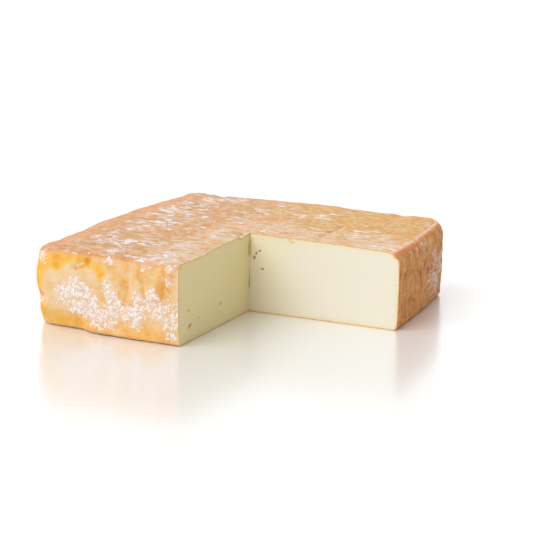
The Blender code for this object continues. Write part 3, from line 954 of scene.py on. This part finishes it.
bends = add_node(tree, "TexNoise", {"Vector": place, "Scale": 1 / BENDS}).outputs["Color"]
bent = shifted(tree, place, bends, GRAIN_BEND)
from_middle, chance, _ = cells_of(tree, bent, GRAIN_CELL)
flecks = noise_of(tree, place, *FLECKS)
growth = mask_of(tree, "growth")
colour = mixed(tree, ramped(tree, growth, *VEIL_RAMP), colour, MOULD)
gaps = scaled(tree, growth, ramped(tree, flecks, *GAP_RAMP))
colour = mixed(tree, gaps, colour, GAP_BROWN)
island = scaled(tree, less(tree, flecks, NOISE_MIDDLE), FLECK_SHARE)
island = ramped(tree, added(tree, mask_of(tree, "grains"), island), *ISLAND_RAMP)
grains = scaled(tree, island, ramped(tree, from_middle, *ISLAND_GRAIN))
dusting = ramped(tree, less(tree, scaled(tree, growth, DUST_SHARE), chance), *DUST_RAMP)
dusting = scaled(tree, dusting, ramped(tree, from_middle, *DUST_GRAIN))

# The mould of the top: wisps with torn edges, a few long threads, and short strokes in groups.
# Some strokes are orange instead, where the rind shows between the white ones.
WISPS, THREADS, GROUPS = (5.0, 8.0, 0.74, 0.8), (15.0, 4.0, 0.5, 0.6), (13.0, 3.0)
WISP_GAIN, WISP_RAMP = 0.07, (0.665, 0.700, 0.9)
THREAD_MIDDLE, THREAD_SHARE, THREAD_RAMP = 0.52, (0.3, 0.9, 0.7), (0.016, 0.003)
GROUP_GAIN, STROKE_BEND, STROKE_CELL = 3.5, (3.9, 2.4, 1.5), 2.8
STROKE_START, STROKE_GAIN, STROKE_RAMP = 0.16, 0.26, (0.0, 0.03, 0.95)
STROKE_SHAPE, ORANGE_CHANCE = (0.62, 0.38), (0.80, 0.84, 0.7)

wisps = added(tree, noise_of(tree, streaked, *WISPS), scaled(tree, wisp_share, WISP_GAIN))
wisps = ramped(tree, wisps, *WISP_RAMP)
thread = off_from(tree, noise_of(tree, streaked, *THREADS), THREAD_MIDDLE)
thread_share = ramped(tree, wisp_share, *THREAD_SHARE)
thread = scaled(tree, ramped(tree, thread, *THREAD_RAMP), thread_share)
grouped = less(tree, noise_of(tree, streaked, *GROUPS), NOISE_MIDDLE)
grouped = scaled(tree, grouped, GROUP_GAIN)
stroke_share = scaled(tree, wisp_share, added(tree, grouped, 1.0))
stroke_share = scaled(tree, less(tree, stroke_share, STROKE_START), STROKE_GAIN)
bent = shifted(tree, streaked, bends, STROKE_BEND)
from_middle, white_chance, orange_chance = cells_of(tree, bent, STROKE_CELL)
shape = ramped(tree, from_middle, *STROKE_SHAPE)
stroke = ramped(tree, less(tree, stroke_share, white_chance), *STROKE_RAMP)
stroke = scaled(tree, shape, stroke)
orange = scaled(tree, ramped(tree, orange_chance, *ORANGE_CHANCE), shape)
orange = scaled(tree, orange, less(tree, 1.0, side))
colour = mixed(tree, orange, colour, ORANGE_LINE)
mould = larger(tree, larger(tree, grains, dusting), wisps)
mould = larger(tree, mould, larger(tree, thread, stroke))
colour = mixed(tree, mould, colour, mixed(tree, side, WISP_WHITE, MOULD))
tree.links.new(colour, shader.inputs["Base Color"])

# The bare rind is damp and the mould on it dry. Both stand a little uneven.
DAMP, DRY_MOULD, RIND_GLOSS = 0.52, 0.85, 0.18
FLECK_BUMP, FIBRE_BUMP, MOULD_BUMP = 0.5, 0.9, 0.4
RIND_BUMP, RIND_BUMP_HEIGHT = 0.6, 0.0005

dull = add_node(tree, "MapRange", {"Value": mould, "To Min": DAMP, "To Max": DRY_MOULD})
tree.links.new(dull.outputs["Result"], shader.inputs["Roughness"])
shader.inputs["Specular IOR Level"].default_value = RIND_GLOSS
skin = added(tree, scaled(tree, flecks, FLECK_BUMP), scaled(tree, fibre, FIBRE_BUMP))
skin = added(tree, skin, scaled(tree, mould, MOULD_BUMP))
sockets = {"Height": skin, "Strength": RIND_BUMP, "Distance": RIND_BUMP_HEIGHT}
bump = add_node(tree, "Bump", sockets)
tree.links.new(bump.outputs["Normal"], shader.inputs["Normal"])
cheese_mesh.materials.append(rind)

# The paste is smooth and pale, a little yellower under the rind. The left cut, and the back cut near
# the inner corner, are painted yellower: painted warm shade, lit by bounce light. The rind itself
# shows along every cut edge as a thin tan line.
PASTE, PASTE_IN_WARM_SHADE = seen(233, 227, 209), seen(242, 225, 171)
UNDER_RIND, RIND_LINE = seen(234, 216, 160), seen(224, 176, 108)
FLAKE_YELLOW, TORN_YELLOW_AND_SHADE, EYE_SHADE = seen(230, 194, 116), seen(212, 182, 66), seen(198, 150, 44)
PASTE_NOISE, KNIFE_STRETCH = (3.0, 4.0), (1.0, 1.0, 9.0)
UNDER_RAMP, DRAG_RAMP, LINE_RAMP = (4.5, 1.4, 0.4), (0.35, 0.75, 0.10), (1.35, 0.85)
PASTE_ROUGHNESS, PASTE_GLOSS = 0.48, 0.30
PASTE_GLOW, GLOW_REACH, GLOW_COLOURS = 0.15, 0.003, (1.0, 0.7, 0.35)
PASTE_BUMP, PASTE_BUMP_HEIGHT, DRAG_BUMP, UNEVEN_BUMP = 0.3, 0.0003, 0.8, 0.4

paste = bpy.data.materials.new("paste")
paste.use_nodes = True
tree = paste.node_tree
shader = tree.nodes["Principled BSDF"]
place = in_millimetres(tree)
upright = in_millimetres(tree, KNIFE_STRETCH)
uneven = noise_of(tree, place, *PASTE_NOISE)
drag = noise_of(tree, upright, *PASTE_NOISE)
# Painted warm shade: the left cut, and the back cut near the inner corner, are yellower.
colour = mixed(tree, mask_of(tree, "painted_warm_shade"), PASTE, PASTE_IN_WARM_SHADE)
depth = added(tree, mask_of(tree, "depth"), uneven)
colour = mixed(tree, ramped(tree, depth, *UNDER_RAMP), colour, UNDER_RIND)
colour = mixed(tree, ramped(tree, drag, *DRAG_RAMP), colour, UNDER_RIND)
colour = mixed(tree, ramped(tree, depth, *LINE_RAMP), colour, RIND_LINE)
# Flakes are the rind's own yellow; tears get their yellow plus painted shade in the slit, and eyes
# painted shade in their hollows.
for name, shade in (("flake", FLAKE_YELLOW), ("torn", TORN_YELLOW_AND_SHADE), ("hollow", EYE_SHADE)):
    colour = mixed(tree, mask_of(tree, name), colour, shade)
tree.links.new(colour, shader.inputs["Base Color"])
shader.inputs["Roughness"].default_value = PASTE_ROUGHNESS
shader.inputs["Specular IOR Level"].default_value = PASTE_GLOSS
shader.inputs["Subsurface Weight"].default_value = PASTE_GLOW
shader.inputs["Subsurface Radius"].default_value = GLOW_COLOURS
shader.inputs["Subsurface Scale"].default_value = GLOW_REACH
height = added(tree, scaled(tree, drag, DRAG_BUMP), scaled(tree, uneven, UNEVEN_BUMP))
sockets = {"Height": height, "Strength": PASTE_BUMP, "Distance": PASTE_BUMP_HEIGHT}
bump = add_node(tree, "Bump", sockets)
tree.links.new(bump.outputs["Normal"], shader.inputs["Normal"])
cheese_mesh.materials.append(paste)

# The cheese stands on a plain white studio table. Its top is a lacquered board, so it mirrors
# the foot of the cheese a little.
FLOOR_HALF = 12.0
TABLE_WHITE, TABLE_ROUGHNESS, TABLE_IOR = 0.80, 0.22, 2.0

sheet = bmesh.new()
bmesh.ops.create_grid(sheet, x_segments=1, y_segments=1, size=FLOOR_HALF)
floor_mesh = bpy.data.meshes.new("floor")
sheet.to_mesh(floor_mesh)
sheet.free()
floor = bpy.data.objects.new("floor", floor_mesh)
bpy.context.collection.objects.link(floor)
table = bpy.data.materials.new("white_table")
table.use_nodes = True
shader = table.node_tree.nodes["Principled BSDF"]
shader.inputs["Base Color"].default_value = (TABLE_WHITE, TABLE_WHITE, TABLE_WHITE, 1)
shader.inputs["Roughness"].default_value = TABLE_ROUGHNESS
shader.inputs["Coat Weight"].default_value = 1.0
shader.inputs["Coat Roughness"].default_value = TABLE_ROUGHNESS
shader.inputs["Coat IOR"].default_value = TABLE_IOR
floor_mesh.materials.append(table)

# Plain studio light: one very wide soft lamp high in front on the left, and a white room with a
# bright back wall that is dimmer on the right, where the left cut stays in half shade.
KEY_FROM = Vector((-0.38, -0.58, 0.74))
KEY_ANGLE, KEY_STRENGTH = math.radians(50), 1.90
ROOM_LIGHT, ROOM_SHADE, BACK_WALL = 0.80, 0.48, 0.42
DIM_START, DIM_END, TOWARD_BACK = -0.1, 0.8, (0.2, 0.8)

key_data = bpy.data.lights.new("key_lamp", "SUN")
key_data.angle = KEY_ANGLE
key_data.energy = KEY_STRENGTH
key = bpy.data.objects.new("key_lamp", key_data)
key.rotation_euler = KEY_FROM.to_track_quat("Z", "Y").to_euler()
bpy.context.collection.objects.link(key)

world = bpy.data.worlds.new("white_room")
bpy.context.scene.world = world
world.use_nodes = True
tree = world.node_tree
direction = add_node(tree, "TexCoord", {}).outputs["Generated"]
direction = add_node(tree, "SeparateXYZ", {"Vector": direction}).outputs
sockets = {"Value": direction["X"], "From Min": DIM_START, "From Max": DIM_END}
sockets.update({"To Min": ROOM_LIGHT, "To Max": ROOM_SHADE})
room = add_node(tree, "MapRange", sockets, interpolation_type="SMOOTHSTEP").outputs["Result"]
room = added(tree, room, ramped(tree, direction["Y"], *TOWARD_BACK, BACK_WALL))
tree.links.new(room, tree.nodes["Background"].inputs["Strength"])
tree.nodes["Background"].inputs["Color"].default_value = (1, 1, 1, 1)
bpy.context.scene.view_settings.view_transform = "Standard"
